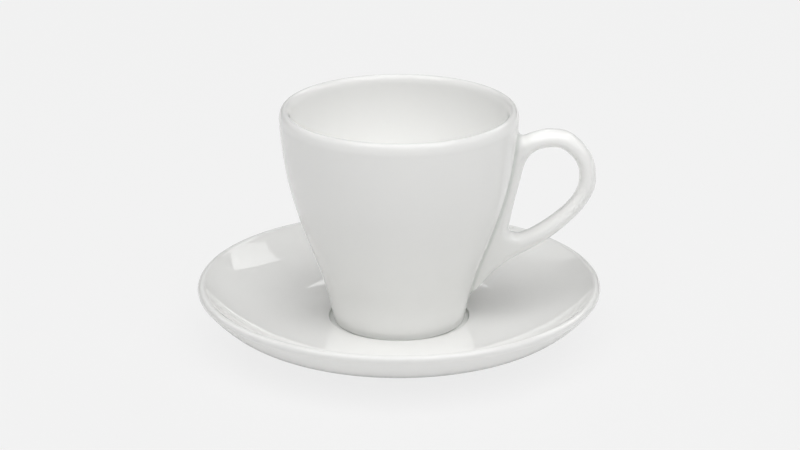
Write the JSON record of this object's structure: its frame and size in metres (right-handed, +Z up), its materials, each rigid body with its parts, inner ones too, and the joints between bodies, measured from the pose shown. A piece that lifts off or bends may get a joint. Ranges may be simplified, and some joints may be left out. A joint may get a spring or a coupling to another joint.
{
  "type": "cup with saucer",
  "caption": "Tapered porcelain cup with a looped side handle and a tail along its wall, standing in the round well of a shallow dished saucer.",
  "frame": {"origin": "on the shared axis of cup and saucer, in the plane of the saucer's foot ring, which is the table", "axes": "+Z up along the axis of cup and saucer, +X towards the handle, +Y away from the viewer of the picture"},
  "size_m": [0.15, 0.15, 0.0885],
  "materials": {
    "white_porcelain": "glossy clear glaze over white porcelain, unglazed only on the standing faces of the foot rings"
  },
  "bodies": {
    "saucer": {"saucer": "white_porcelain"},
    "cup": {"cup_body": "white_porcelain", "cup_handle": "white_porcelain"}
  },
  "joints": [
    {"name": "cup_lift", "type": "slide", "parent": "saucer", "child": "cup", "axis": [0, 0, 1], "range_m": [0, 0.06]}
  ]
}
